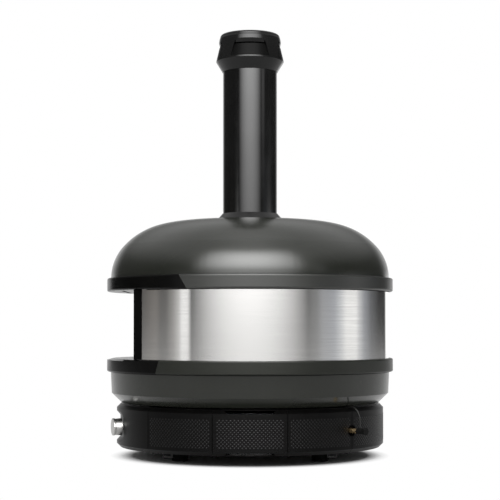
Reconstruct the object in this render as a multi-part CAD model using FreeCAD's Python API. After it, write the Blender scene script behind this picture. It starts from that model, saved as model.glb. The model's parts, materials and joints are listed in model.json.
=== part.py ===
import FreeCAD, Part
import math
import os

# Countertop gas pizza oven: a round domed body on a round base, with an open mouth and a flue.
# Millimetres and degrees. +Z is up, the mouth faces -Y, the origin is on the dome's axis at the floor.

V = FreeCAD.Vector
ORIGIN = V(0, 0, 0)
UP = V(0, 0, 1)
FRONT = -90.0
REAR = 90.0

# General clearances and sheet thicknesses
SEAT_GAP = 0.3
SLIDE_GAP = 0.4
FIT_GAP = 0.08
SHEET = 1.5

# Feet and small loops beside them
FOOT_HEIGHT = 21.2
FOOT_TOP_R = 17.6
FOOT_SOLE_R = 16.4
FOOT_EDGE = 2.0
FOOT_INSET = 141.2
FOOT_SCREW_R = 3.0
FOOT_SCREW_HEAD_R = 6.0
FOOT_SCREW_HEAD_H = 3.5
FOOT_SCREW_DEPTH = 14.0
LOOP_WIDTH = 20.0
LOOP_DEPTH = 4.0
LOOP_DROP = 13.5
LOOP_STRIP = 2.5
LOOP_OFFSET = 24.0
LOOP_SHIFT = 13.6

# Base
BASE_HEIGHT = 90.5
BASE_INSET = 13.0
BASE_CHAMFER = 8.6
BASE_LIP = 0.7
PANEL_T = 3.0
PANEL_GAP = 0.9
PANEL_RIM_GAP = 0.4
SIDE_SEAM_ANGLE = 15.0
CORNER_SEAM_ANGLE = 46.0
POST_SWEEP = 8.0
POST_DEPTH = 12.0
POST_INSET = 22.0
POST_PAD_MARGIN = 12.5
PAN_SCREW_INSET = 16.0
PAN_SCREW_R = 2.0
PAN_SCREW_HEAD_R = 4.0
PAN_SCREW_HEAD_H = 2.0
PAN_SCREW_LENGTH = 12.0
NOTCH_HALF = 44.8
NOTCH_SPREAD = 6.0
NOTCH_LOW_HEIGHT = 6.4

# Height above the base's underside shared by the knob, its recess, the valve and the gas inlet
CONTROL_HEIGHT = 44.2

# Control recess in the front panel
RECESS_HALF_LENGTH = 118.0
RECESS_HALF_HEIGHT = 31.5
RECESS_DEPTH = 7.5
RECESS_RAMP = 8.5
RECESS_WALL = 3.0
RECESS_SWEEP = 60.0

# Control knob and gas valve, on one line that points outwards from the base
KNOB_AZIMUTH = 17.0
KNOB_R = 17.9
KNOB_PROUD = 15.4
KNOB_PUSH = 3.5
KNOB_RUN_GAP = 0.5
KNOB_EDGE = 1.2
KNOB_GRIP_R = 16.9
KNOB_RIM = 4.0
KNOB_POCKET_R = 9.0
KNOB_POCKET = 4.0
STEM_R = 3.0
STEM_HOLE_R = 6.0
STEM_INSERT = 6.0
VALVE_R = 14.0
VALVE_LENGTH = 37.7
VALVE_INSET = 16.8
VALVE_NOSE_R = 8.0
VALVE_NOSE = 5.0
VALVE_WALL = 4.0
PLUG_R = 8.9
PLUG_LENGTH = 24.0
PORT_R = 2.5
STEM_DEPTH = 15.0
OUTLET_RISE = 2.0
NUT_WALL = 4.0
BRACKET_WIDTH = 50.0
BRACKET_HEIGHT = 72.0
BRACKET_FOOT = 22.0
BRACKET_T = 2.0

# Gas inlet at the right rear, its dust cap and the cap's tether
INLET_AZIMUTH = 46.0
INLET_HOLE_R = 11.6
INLET_R = 5.1
INLET_BORE_R = 3.0
INLET_PROUD = 28.0
INLET_FLANGE_R = 16.0
INLET_FLANGE_T = 5.0
INLET_BODY_R = 8.0
INLET_BODY_LENGTH = 16.0
CAP_GAP = 14.6
CAP_LENGTH = 21.8
CAP_WALL = 0.9
CAP_HEAD_R = 7.4
CAP_HEAD_T = 3.4
CAP_BORE_GAP = 0.3
TETHER_R = 1.4
TETHER_OUT = (20.4, 20.4, 19.2, 8.5, -5.5, -19.0)
TETHER_LOW_RISE = (6.9, 19.3)
TETHER_HIGH_RISE = (-13.0, -0.2, 1.5, 1.5)
LUG_LENGTH = 4.4
LUG_WIDTH = 4.0
ANCHOR_LENGTH = 4.0

# Pipes and leads
PIPE_R = 5.0
PIPE_BORE_R = 3.5
PIPE_BEND = 22.0
PIPE_HOLE_R = 6.5
RISER_BEND = 11.0
RISER_DROP = 9.0
RISER_JOG = 28.5
LEAD_R = 1.5
LEAD_BEND = 6.0
LEAD_DROP = 20.0
LEAD_SPREAD = 4.0
LEAD_JOG = 23.5
LEAD_HOLE_R = 3.2
JOG_HEIGHT = 29.0
UNIT_INSET = 48.0
UNIT_AZIMUTH = 12.0
UNIT_WIDTH = 24.0
UNIT_HEIGHT = 34.0

# Bowl and plinth
NECK_GAP = 3.0
PLINTH_R = 220.0
PLINTH_WIDTH = 14.0
BODY_R = 297.0
BOWL_FLOOR_INSET = 22.0
BOWL_CHAMFER_INSET = 2.0
BOWL_CHAMFER_H = 19.5
BOWL_H = 64.5

# Rings and band
RING_PROUD = 8.0
RING_H = 28.0
RING_EDGE = 3.0
BAND_T = 1.2
BAND_SPAN = 141.0
BAND_END_GAP = 1.3
UPPER_TRIM_ANGLE = 64.35
UPPER_TRIM_LEAN = 33.0
LOWER_TRIM_ANGLE = 52.9
LOWER_TRIM_LEAN = -18.0
TRIM_GAP = 0.4
LEDGE_T = 3.0
VISOR_LAP = 8.0
VISOR_SLOT_INSET = 32.0
VISOR_SLOT_LENGTH = 200.0
VISOR_SLOT_WIDTH = 6.0
BEVEL_ANGLE = 32.4
BEVEL_DROP = 3.2
BEVEL_WIDTH = 12.0

# Mouth
FRAME_INSET = 64.0
FRAME_HALF_WIDTH = 202.0
FRAME_T = 3.0
FRAME_DEPTH = 28.0
FRAME_LEG = 17.0
FRAME_LINTEL = 15.0
FRAME_CORNER = 28.0
THROAT_T = 1.5

# Dome outline: three arcs that run from the upright wall to the level crown
DOME_SIDE_R = 102.0
DOME_SIDE_ANGLE = 42.0
DOME_SHOULDER_R = 153.0
DOME_SHOULDER_ANGLE = 75.5
DOME_CROWN_R = 230.0

# Oven chamber
LINER_INSET = 75.0
LINER_T = 1.5
BLANKET_T = 25.0
TRAY_DROP = 8.5
TRAY_INSET = 7.0
TRAY_LEG_R = 8.0
TRAY_LEG_INSET = 42.0
BOARD_T = 20.0
STONE_INSET = 28.0
STONE_T = 18.5
STONE_EDGE = 1.5
SURROUND_T = 14.0
SLEEVE_MARGIN = 0.5

# Burner at the rear of the chamber
BURNER_INSET = 13.5
BURNER_R = 9.0
BURNER_WALL = 1.2
BURNER_RISE = 20.9
BURNER_SWEEP = 100.0
BURNER_PORTS = 25
BURNER_PORT_WIDTH = 1.6
BURNER_PORT_HEIGHT = 3.0
PORT_MARGIN = 4.0
GUARD_GAP = 2.5
GUARD_HEIGHT = 44.0
GUARD_SWEEP = 112.0
SADDLE_SWEEP = 4.0
SADDLE_AZIMUTH = 38.0
PROBE_AZIMUTH = 57.0
PROBE_R = 3.0
PROBE_RISE = 32.9
PROBE_DROP = 11.0
PROBE_TIP_R = 1.0
PROBE_TIP = 8.0

# Flue
COLLAR_FLARE = 17.9
COLLAR_H = 18.5
COLLAR_LEDGE = 6.5
COLLAR_LIP = 0.9
FLUE_R = 58.1
FLUE_T = 1.5
FLUE_LENGTH = 317.7
FLUE_LINER_INSET = 3.5
FLUE_LINER_T = 1.2
FLUE_LINER_RISE = 13.0
SPACER_H = 8.0
DUCT_INSET = 6.1
DUCT_T = 1.5
DUCT_RISE = 46.0

# Flue cap, with heights from the top of the tube
CAP_SHELL_T = 3.2
CAP_SKIRT = 1.0
CAP_SKIRT_T = 0.6
CAP_RIM_FLARE = 14.7
CAP_RIM_RISE = 21.3
CAP_RIM_EDGE = 2.0
CAP_SHOULDER_FLARE = 7.4
CAP_SHOULDER_RISE = 69.8
CAP_NECK_FLARE = 6.0
CAP_NECK_RISE = 73.8
CAP_RISE = 79.5
CAP_TOP_EDGE = 6.0
WINDOW_LOW_HALF = 41.0
WINDOW_HIGH_HALF = 30.4
WINDOW_LOW_RISE = 24.6
WINDOW_HIGH_RISE = 62.0
WINDOW_LINTEL_RISE = 53.6
WINDOW_CORNER = 10.0
OUTLET_HEIGHT = 3.1
CAP_SLEEVE_T = 1.8
PAD_LOW_DEPTH = 0.2
PAD_HIGH_DEPTH = 2.5
PAD_GAP = 0.4

# Levels, from the floor up
BASE_BOTTOM = FOOT_HEIGHT + SEAT_GAP
BASE_TOP = BASE_BOTTOM + BASE_HEIGHT
CONTROL_Z = BASE_BOTTOM + CONTROL_HEIGHT
RISER_LEVEL = BASE_TOP - RISER_DROP
LEAD_LEVEL = BASE_TOP - LEAD_DROP
BOWL_BOTTOM = BASE_TOP + NECK_GAP
JOG_LEVEL = BOWL_BOTTOM + JOG_HEIGHT
LOWER_RING_Z = BOWL_BOTTOM + BOWL_H
LOWER_RING_TOP = LOWER_RING_Z + RING_H
LOWER_SPLIT = LOWER_RING_Z + RING_H / 2
UPPER_RING_Z = LOWER_RING_TOP + BAND_SPAN
UPPER_RING_TOP = UPPER_RING_Z + RING_H
UPPER_SPLIT = UPPER_RING_Z + RING_H / 2
TRAY_BOTTOM = LOWER_RING_Z - TRAY_DROP
BOARD_BOTTOM = TRAY_BOTTOM + SHEET + SEAT_GAP
STONE_BOTTOM = BOARD_BOTTOM + BOARD_T + SEAT_GAP
STONE_TOP = STONE_BOTTOM + STONE_T
SURROUND_TOP = STONE_BOTTOM + SURROUND_T
BURNER_Z = SURROUND_TOP + BURNER_RISE
PROBE_TOP = SURROUND_TOP + PROBE_RISE
PROBE_BOTTOM = TRAY_BOTTOM - PROBE_DROP
LEDGE_BOTTOM = LOWER_RING_TOP - LEDGE_T
MOUTH_FLOOR = LOWER_RING_TOP + SEAT_GAP
MOUTH_TOP = UPPER_RING_Z - SEAT_GAP
THROAT_TOP = MOUTH_TOP - FRAME_LINTEL

# Radii and reaches from the axis
BASE_R = BODY_R - BASE_INSET
FOOT_REACH = BASE_R - FOOT_INSET
DECK_R = BASE_R - BASE_CHAMFER + BASE_LIP
PANEL_TIP_R = DECK_R + PANEL_RIM_GAP
POST_INNER_R = BASE_R - POST_INSET
PAN_SCREW_REACH = BASE_R - PAN_SCREW_INSET
RECESS_FLOOR_R = BASE_R - RECESS_DEPTH
KNOB_BACK = RECESS_FLOOR_R + KNOB_PUSH + KNOB_RUN_GAP
KNOB_FRONT = BASE_R + KNOB_PROUD
VALVE_FRONT = RECESS_FLOOR_R - VALVE_INSET
VALVE_BACK = VALVE_FRONT - VALVE_LENGTH
PLUG_FRONT = VALVE_FRONT - VALVE_WALL
PLUG_BACK = PLUG_FRONT - PLUG_LENGTH
UNIT_REACH = BASE_R - UNIT_INSET
INLET_TIP = BASE_R + INLET_PROUD
CAP_BACK = BASE_R + CAP_GAP
CAP_FRONT = CAP_BACK + CAP_LENGTH
CAP_WELL_R = INLET_R + CAP_BORE_GAP
TETHER_LEVELS = [CONTROL_Z + rise for rise in TETHER_LOW_RISE]
TETHER_LEVELS += [BASE_TOP + rise for rise in TETHER_HIGH_RISE]
TETHER_ROUTE = [(BASE_R + out, level) for out, level in zip(TETHER_OUT, TETHER_LEVELS)]
BOWL_FLOOR_R = BODY_R - BOWL_FLOOR_INSET
BOWL_CHAMFER_R = BODY_R - BOWL_CHAMFER_INSET
RING_R = BODY_R + RING_PROUD
RING_BORE_R = BODY_R + SEAT_GAP
FRAME_FRONT = BODY_R - FRAME_INSET
THROAT_HALF_WIDTH = FRAME_HALF_WIDTH - FRAME_LEG
MOUTH_HALF_ANGLE = math.degrees(math.asin((FRAME_HALF_WIDTH + BAND_END_GAP) / BODY_R))
LINER_R = BODY_R - LINER_INSET
TRAY_LEG_REACH = LINER_R - TRAY_LEG_INSET
HEARTH_R = LINER_R - LINER_T - SLEEVE_MARGIN
STONE_R = LINER_R - STONE_INSET
BURNER_REACH = LINER_R - BURNER_INSET
RISER_REACH = BURNER_REACH - RISER_JOG
LEAD_REACH = BURNER_REACH - LEAD_JOG
GUARD_R = STONE_R + GUARD_GAP
FLUE_LINER_R = FLUE_R - FLUE_LINER_INSET
DUCT_R = FLUE_R - DUCT_INSET
DOME_HOLE_R = DUCT_R + SEAT_GAP
COLLAR_BORE_R = FLUE_R + SLIDE_GAP
CAP_RIM_R = FLUE_R + CAP_RIM_FLARE
CAP_SHOULDER_R = FLUE_R + CAP_SHOULDER_FLARE
CAP_NECK_R = FLUE_R + CAP_NECK_FLARE

# Directions and a length that is longer than any part
KNOB_DIRECTION = FRONT + KNOB_AZIMUTH
HALF_CHAMFER = math.tan(math.radians(22.5))
FAR = 2 * BODY_R


def rounded_edges(points, radii, closed):
    """Straight runs through the points, joined by tangent arcs of the given radii."""
    count = len(points)
    ends = []
    edges = []
    for index, (corner, radius) in enumerate(zip(points, radii)):
        before = points[index - 1]
        after = points[(index + 1) % count]
        if radius == 0:
            ends.append((corner, corner))
            continue
        inward = (corner - before).normalize()
        onward = (after - corner).normalize()
        turn = inward.getAngle(onward)
        cut = radius * math.tan(turn / 2)
        start = corner - inward * cut
        end = corner + onward * cut
        middle = corner + (onward - inward).normalize() * (radius / math.cos(turn / 2) - radius)
        edges.append(Part.Arc(start, middle, end).toShape())
        ends.append((start, end))
    for index in range(count if closed else count - 1):
        leave = ends[index][1]
        arrive = ends[(index + 1) % count][0]
        if leave.distanceToPoint(arrive) > 0.001:
            edges.append(Part.makeLine(leave, arrive))
    return Part.Wire(Part.__sortEdges__(edges))


def outline_face(points):
    """A face in the XZ plane; a third number on a point rounds that corner."""
    corners = [V(point[0], 0, point[1]) for point in points]
    radii = [point[2] if len(point) > 2 else 0 for point in points]
    return Part.Face(rounded_edges(corners, radii, True))


def spin(face, start=0.0, sweep=360.0):
    face.rotate(ORIGIN, UP, start)
    return face.revolve(ORIGIN, UP, sweep)


def turned(points, start=0.0, sweep=360.0):
    return spin(outline_face(points), start, sweep)


def pipe_ring(r_in, r_out, z_low, z_high, start=0.0, sweep=360.0):
    return turned([(r_in, z_low), (r_out, z_low), (r_out, z_high), (r_in, z_high)], start, sweep)


def disc(radius, z_low, z_high):
    return Part.makeCylinder(radius, z_high - z_low, V(0, 0, z_low))


def post(radius, x, y, z_low, z_high):
    return Part.makeCylinder(radius, z_high - z_low, V(x, y, z_low))


def box(x_low, x_high, y_low, y_high, z_low, z_high):
    return Part.makeBox(x_high - x_low, y_high - y_low, z_high - z_low, V(x_low, y_low, z_low))


def rod(radius, u_low, u_high, z):
    return Part.makeCylinder(radius, u_high - u_low, V(u_low, 0, z), V(1, 0, 0))


def around(shape, azimuth):
    return shape.rotated(ORIGIN, UP, azimuth)


def polar(reach, azimuth):
    angle = math.radians(azimuth)
    return reach * math.cos(angle), reach * math.sin(angle)


def mirrored(shape):
    return shape.mirror(ORIGIN, V(1, 0, 0))


def joined(shapes):
    whole = shapes[0].fuse(shapes[1:])
    return whole.removeSplitter()


def eased_ring(r_in, r_out, z_low, z_high, edge):
    """A ring whose two outer edges are eased by two flats each."""
    knee = edge * (1 - math.sqrt(0.5))
    points = [(r_in, z_low), (r_out - edge, z_low), (r_out - knee, z_low + knee), (r_out, z_low + edge)]
    points += [(r_out, z_high - edge), (r_out - knee, z_high - knee), (r_out - edge, z_high), (r_in, z_high)]
    return turned(points)


def arc_edge(centre, radius, angle_low, angle_high):
    points = []
    for angle in (angle_low, (angle_low + angle_high) / 2, angle_high):
        turn = math.radians(angle)
        points.append(V(centre[0] + radius * math.cos(turn), 0, centre[1] + radius * math.sin(turn)))
    return Part.Arc(*points).toShape()


def widest_bends(points):
    """The largest arcs that the runs of a free cord allow."""
    bends = []
    for before, corner, after in zip(points, points[1:], points[2:]):
        inward = corner - before
        onward = after - corner
        turn = inward.getAngle(onward)
        bends.append(0.45 * min(inward.Length, onward.Length) / math.tan(turn / 2))
    return bends


def tube_along(points, radius, bends, bore=0.0):
    path = rounded_edges(points, [0] + bends + [0], False)
    direction = (points[1] - points[0]).normalize()
    section = Part.Wire(Part.makeCircle(radius, points[0], direction))
    tube = path.makePipeShell([section], True, False)
    if bore:
        inner = Part.Wire(Part.makeCircle(bore, points[0], direction))
        tube = tube.cut(path.makePipeShell([inner], True, False))
    return tube


# Dome outline


def dome_arcs(inset):
    side = (BODY_R - DOME_SIDE_R, UPPER_RING_TOP)
    step = DOME_SIDE_R - DOME_SHOULDER_R
    turn = math.radians(DOME_SIDE_ANGLE)
    shoulder = (side[0] + step * math.cos(turn), side[1] + step * math.sin(turn))
    step = DOME_SHOULDER_R - DOME_CROWN_R
    turn = math.radians(DOME_SHOULDER_ANGLE)
    crown = (shoulder[0] + step * math.cos(turn), shoulder[1] + step * math.sin(turn))
    return [
        arc_edge(side, DOME_SIDE_R - inset, 0, DOME_SIDE_ANGLE),
        arc_edge(shoulder, DOME_SHOULDER_R - inset, DOME_SIDE_ANGLE, DOME_SHOULDER_ANGLE),
        arc_edge(crown, DOME_CROWN_R - inset, DOME_SHOULDER_ANGLE, 90),
    ]


def arc_end(edge):
    return edge.valueAt(edge.LastParameter)


def dome_top(inset):
    return arc_end(dome_arcs(inset)[-1]).z


def dome_layer(inset_out, inset_in, z_low):
    """A domed skin between two insets from the outline, down to a level."""
    outer = dome_arcs(inset_out)
    inner = dome_arcs(inset_in)
    outer_end = arc_end(outer[-1])
    inner_end = arc_end(inner[-1])
    rim_out = V(DOME_HOLE_R, 0, outer_end.z)
    rim_in = V(DOME_HOLE_R, 0, inner_end.z)
    foot_out = V(BODY_R - inset_out, 0, z_low)
    foot_in = V(BODY_R - inset_in, 0, z_low)
    wall_out = V(BODY_R - inset_out, 0, UPPER_RING_TOP)
    wall_in = V(BODY_R - inset_in, 0, UPPER_RING_TOP)
    edges = [Part.makeLine(foot_in, foot_out), Part.makeLine(foot_out, wall_out)]
    edges += outer
    edges += [Part.makeLine(outer_end, rim_out), Part.makeLine(rim_out, rim_in)]
    edges += [Part.makeLine(rim_in, inner_end)]
    edges += inner[::-1]
    edges += [Part.makeLine(wall_in, foot_in)]
    return spin(Part.Face(Part.Wire(Part.__sortEdges__(edges))))


# Feet


def foot_centres():
    return [(sx * FOOT_REACH, sy * FOOT_REACH) for sx in (1, -1) for sy in (-1, 1)]


def foot(x, y):
    cone = turned([(0, 0), (FOOT_SOLE_R, 0, FOOT_EDGE), (FOOT_TOP_R, FOOT_HEIGHT), (0, FOOT_HEIGHT)])
    well = post(FOOT_SCREW_R + SEAT_GAP, 0, 0, FOOT_HEIGHT - FOOT_SCREW_DEPTH - SEAT_GAP, FOOT_HEIGHT)
    return cone.cut(well).translated(V(x, y, 0))


def foot_screw(x, y):
    pan_top = BASE_BOTTOM + SHEET
    shank = post(FOOT_SCREW_R, x, y, FOOT_HEIGHT - FOOT_SCREW_DEPTH, pan_top)
    head = post(FOOT_SCREW_HEAD_R, x, y, pan_top, pan_top + FOOT_SCREW_HEAD_H)
    return joined([shank, head])


def foot_screws():
    return Part.makeCompound([foot_screw(x, y) for x, y in foot_centres()])


def stand_loop(x, y):
    centre_x = x + math.copysign(LOOP_SHIFT, x)
    centre_y = y + math.copysign(LOOP_OFFSET, y)
    outer = box(-LOOP_DEPTH / 2, LOOP_DEPTH / 2, -LOOP_WIDTH / 2, LOOP_WIDTH / 2, -LOOP_DROP, 0)
    half = LOOP_WIDTH / 2 - LOOP_STRIP
    gap = box(-LOOP_DEPTH, LOOP_DEPTH, -half, half, LOOP_STRIP - LOOP_DROP, -LOOP_STRIP)
    return outer.cut(gap).translated(V(centre_x, centre_y, BASE_BOTTOM))


def stand_loops():
    return Part.makeCompound([stand_loop(x, y) for x, y in foot_centres()])


# Base


def drill(shape, holes, z_low, z_high):
    for radius, x, y in holes:
        shape = shape.cut(post(radius, x, y, z_low, z_high))
    return shape


def pan_screw_centres():
    return [polar(PAN_SCREW_REACH, azimuth) for azimuth in seam_azimuths()]


def pan_screws():
    screws = []
    for x, y in pan_screw_centres():
        shank = post(PAN_SCREW_R, x, y, BASE_BOTTOM, BASE_BOTTOM + PAN_SCREW_LENGTH)
        head = post(PAN_SCREW_HEAD_R, x, y, BASE_BOTTOM - PAN_SCREW_HEAD_H, BASE_BOTTOM)
        screws.append(joined([shank, head]))
    return Part.makeCompound(screws)


def base_pan():
    holes = [(FOOT_SCREW_R + SEAT_GAP, x, y) for x, y in foot_centres()]
    holes += [(PAN_SCREW_R + SEAT_GAP, x, y) for x, y in pan_screw_centres()]
    pan = disc(DECK_R, BASE_BOTTOM, BASE_BOTTOM + SHEET)
    return drill(pan, holes, 0, BASE_TOP)


def service_holes():
    """Holes through the deck and the bowl for the gas riser and the two leads."""
    holes = [(PIPE_HOLE_R, 0, RISER_REACH)]
    for side in (1, -1):
        x, y = polar(LEAD_REACH, REAR - side * PROBE_AZIMUTH)
        holes.append((LEAD_HOLE_R, x, y))
    return holes


def chamber_holes():
    """Holes through the tray and the boards for the gas riser and the two probes."""
    holes = [(PIPE_HOLE_R, 0, BURNER_REACH)]
    for side in (1, -1):
        x, y = polar(BURNER_REACH, REAR - side * PROBE_AZIMUTH)
        holes.append((PROBE_R + SEAT_GAP, x, y))
    return holes


def base_deck():
    deck = disc(DECK_R, BASE_TOP - SHEET, BASE_TOP)
    reach, level = TETHER_ROUTE[-1]
    half = LUG_WIDTH / 2
    anchor = box(reach - ANCHOR_LENGTH, reach, -half, half, BASE_TOP - SHEET, level + TETHER_R)
    deck = joined([deck, around(anchor, INLET_AZIMUTH)])
    return drill(deck, service_holes(), 0, BOWL_BOTTOM)


def seam_azimuths():
    quarter = [-CORNER_SEAM_ANGLE, -SIDE_SEAM_ANGLE, SIDE_SEAM_ANGLE, CORNER_SEAM_ANGLE]
    return quarter + [180 + seam for seam in quarter]


def base_post(azimuth):
    low = BASE_BOTTOM + SHEET
    high = BASE_TOP - SHEET
    inner = POST_INNER_R
    back = POST_INNER_R + POST_DEPTH
    pad = BASE_R - PANEL_T - SEAT_GAP
    points = [(inner, low), (back, low), (back, low + POST_PAD_MARGIN), (pad, low + POST_PAD_MARGIN)]
    points += [(pad, high - POST_PAD_MARGIN), (back, high - POST_PAD_MARGIN), (back, high), (inner, high)]
    return turned(points, azimuth - POST_SWEEP / 2, POST_SWEEP)


def base_posts():
    holes = [post(PAN_SCREW_R, x, y, 0, BASE_BOTTOM + PAN_SCREW_LENGTH) for x, y in pan_screw_centres()]
    posts = [base_post(azimuth) for azimuth in seam_azimuths()]
    return Part.makeCompound([one.cut(holes + [inlet_hole()]) for one in posts])


def panel_sector(start, end):
    margin = math.degrees(PANEL_GAP / 2 / BASE_R)
    rise = PANEL_T * math.sqrt(2)
    step = PANEL_T * HALF_CHAMFER
    drop = BASE_R - PANEL_TIP_R
    low = BASE_BOTTOM
    high = low + BASE_HEIGHT - BASE_LIP
    inner = BASE_R - PANEL_T
    points = [(PANEL_TIP_R, low), (BASE_R, low + drop), (BASE_R, high - drop), (PANEL_TIP_R, high)]
    points += [(PANEL_TIP_R, high - rise), (inner, high - drop - step)]
    points += [(inner, low + drop + step), (PANEL_TIP_R, low + rise)]
    return turned(points, start + margin, end - start - 2 * margin)


def side_prism(low_half, high_half, z_low, z_high):
    points = [V(0, -low_half, z_low), V(0, low_half, z_low)]
    points += [V(0, high_half, z_high), V(0, -high_half, z_high)]
    face = Part.Face(Part.makePolygon(points + points[:1]))
    return face.extrude(V(FAR, 0, 0))


def centre_panel():
    panel = panel_sector(-SIDE_SEAM_ANGLE, SIDE_SEAM_ANGLE)
    drop = BASE_R - PANEL_TIP_R
    high = BASE_TOP - BASE_LIP - drop
    top_notch = side_prism(NOTCH_HALF, NOTCH_HALF + NOTCH_SPREAD, high, BASE_TOP)
    low_top = BASE_BOTTOM + NOTCH_LOW_HEIGHT
    low_notch = side_prism(NOTCH_HALF + NOTCH_SPREAD, NOTCH_HALF, BASE_BOTTOM, low_top)
    return panel.cut([top_notch, low_notch])


def inlet_hole():
    return around(rod(INLET_HOLE_R, 0, FAR, CONTROL_Z), INLET_AZIMUTH)


def side_front_panel():
    return panel_sector(-CORNER_SEAM_ANGLE, -SIDE_SEAM_ANGLE)


def side_rear_panel():
    return panel_sector(SIDE_SEAM_ANGLE, CORNER_SEAM_ANGLE)


def rear_panel():
    return panel_sector(CORNER_SEAM_ANGLE, 180 - CORNER_SEAM_ANGLE).cut(inlet_hole())


def stadium(half_length, half_height):
    """A long round-ended prism that points forwards, centred on the recess."""
    run = half_length - half_height
    bar = box(-run, run, -FAR, -1, CONTROL_Z - half_height, CONTROL_Z + half_height)
    ends = [Part.makeCylinder(half_height, FAR - 1, V(x, -FAR, CONTROL_Z), V(0, 1, 0)) for x in (-run, run)]
    return joined([bar] + ends)


def recess_cut():
    low = CONTROL_Z - RECESS_HALF_HEIGHT
    high = CONTROL_Z + RECESS_HALF_HEIGHT
    beyond = BASE_R + RECESS_DEPTH
    points = [(BASE_R, low), (RECESS_FLOOR_R, low + RECESS_RAMP), (RECESS_FLOOR_R, high - RECESS_RAMP)]
    points += [(BASE_R, high), (beyond, high), (beyond, low)]
    return turned(points, FRONT - RECESS_SWEEP / 2, RECESS_SWEEP).common(
        stadium(RECESS_HALF_LENGTH, RECESS_HALF_HEIGHT)
    )


def recess_tub():
    half_height = RECESS_HALF_HEIGHT + RECESS_WALL / 2
    low = CONTROL_Z - half_height
    high = CONTROL_Z + half_height
    back = RECESS_FLOOR_R - RECESS_WALL
    block = pipe_ring(back, BASE_R - PANEL_T / 2, low, high, FRONT - RECESS_SWEEP / 2, RECESS_SWEEP)
    return block.common(stadium(RECESS_HALF_LENGTH + RECESS_WALL, half_height))


def front_panel():
    panel = panel_sector(FRONT - 90 + CORNER_SEAM_ANGLE, FRONT + 90 - CORNER_SEAM_ANGLE)
    hole = around(rod(STEM_HOLE_R, RECESS_FLOOR_R - 2 * RECESS_WALL, FAR, CONTROL_Z), KNOB_DIRECTION)
    return joined([panel, recess_tub()]).cut([recess_cut(), hole])


def plinth_ring():
    return pipe_ring(PLINTH_R - PLINTH_WIDTH, PLINTH_R, BASE_TOP, BOWL_BOTTOM)


# Control knob and gas valve, drawn along +X and then swung to their place


def valve_bracket():
    low = BASE_BOTTOM + SHEET
    front = VALVE_FRONT + BRACKET_T + SEAT_GAP
    half = BRACKET_WIDTH / 2
    plate = box(front - BRACKET_T, front, -half, half, low, low + BRACKET_HEIGHT)
    shelf = box(front - BRACKET_FOOT, front, -half, half, low, low + BRACKET_T)
    hole = rod(VALVE_NOSE_R + SEAT_GAP, 0, FAR, CONTROL_Z)
    return around(joined([plate, shelf]).cut(hole), KNOB_DIRECTION)


def outlet_reach():
    return (PLUG_BACK + PLUG_FRONT) / 2


def outlet_top():
    return CONTROL_Z + VALVE_R + OUTLET_RISE


def valve_body():
    body = rod(VALVE_R, VALVE_BACK, VALVE_FRONT, CONTROL_Z)
    nose = rod(VALVE_NOSE_R, VALVE_FRONT, VALVE_FRONT + VALVE_NOSE, CONTROL_Z)
    outlet = post(PIPE_R + VALVE_WALL / 2, outlet_reach(), 0, CONTROL_Z, outlet_top())
    seat = rod(PLUG_R + FIT_GAP, PLUG_BACK - FIT_GAP, PLUG_FRONT + FIT_GAP, CONTROL_Z)
    way_in = rod(PIPE_BORE_R, 0, PLUG_BACK, CONTROL_Z)
    way_out = post(PIPE_BORE_R, outlet_reach(), 0, CONTROL_Z, FAR)
    stem_way = rod(STEM_R + FIT_GAP, PLUG_FRONT, FAR, CONTROL_Z)
    return around(joined([body, nose, outlet]).cut([seat, way_in, way_out, stem_way]), KNOB_DIRECTION)


def valve_nut():
    back = VALVE_FRONT + SEAT_GAP + BRACKET_T
    nut = rod(VALVE_NOSE_R + NUT_WALL, back, VALVE_FRONT + VALVE_NOSE, CONTROL_Z)
    return around(nut.cut(rod(VALVE_NOSE_R, 0, FAR, CONTROL_Z)), KNOB_DIRECTION)


def valve_plug():
    plug = rod(PLUG_R, PLUG_BACK, PLUG_FRONT, CONTROL_Z)
    stem_way = rod(STEM_R + FIT_GAP, PLUG_FRONT - STEM_DEPTH, FAR, CONTROL_Z)
    gas_way = rod(PORT_R, 0, PLUG_FRONT - STEM_DEPTH - PORT_R, CONTROL_Z)
    port = post(PORT_R, PLUG_BACK + PORT_R + 1, 0, CONTROL_Z, FAR)
    return around(plug.cut([stem_way, gas_way, port]), KNOB_DIRECTION)


def knob_stem_end():
    return KNOB_BACK + STEM_INSERT + KNOB_RIM


def knob_stem():
    tail = PLUG_FRONT - STEM_DEPTH + KNOB_PUSH + KNOB_RUN_GAP
    return around(rod(STEM_R, tail, knob_stem_end(), CONTROL_Z), KNOB_DIRECTION)


def knob():
    groove = KNOB_FRONT - KNOB_RIM
    points = [(0, KNOB_BACK), (KNOB_R, KNOB_BACK), (KNOB_GRIP_R, groove - KNOB_EDGE), (KNOB_R, groove)]
    points += [(KNOB_R, KNOB_FRONT, KNOB_EDGE), (0, KNOB_FRONT)]
    body = turned(points).rotated(ORIGIN, V(0, 1, 0), 90).translated(V(0, 0, CONTROL_Z))
    pocket = rod(KNOB_POCKET_R, KNOB_BACK, KNOB_BACK + KNOB_POCKET, CONTROL_Z)
    socket = rod(STEM_R, KNOB_BACK, knob_stem_end(), CONTROL_Z)
    return around(body.cut([pocket, socket]), KNOB_DIRECTION)


# Gas inlet


def inlet_seat():
    """Where the flat flange clears the round inner face of the post."""
    return math.sqrt(POST_INNER_R**2 - INLET_FLANGE_R**2) - SEAT_GAP


def inlet_back():
    return inlet_seat() - INLET_FLANGE_T - INLET_BODY_LENGTH


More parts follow.
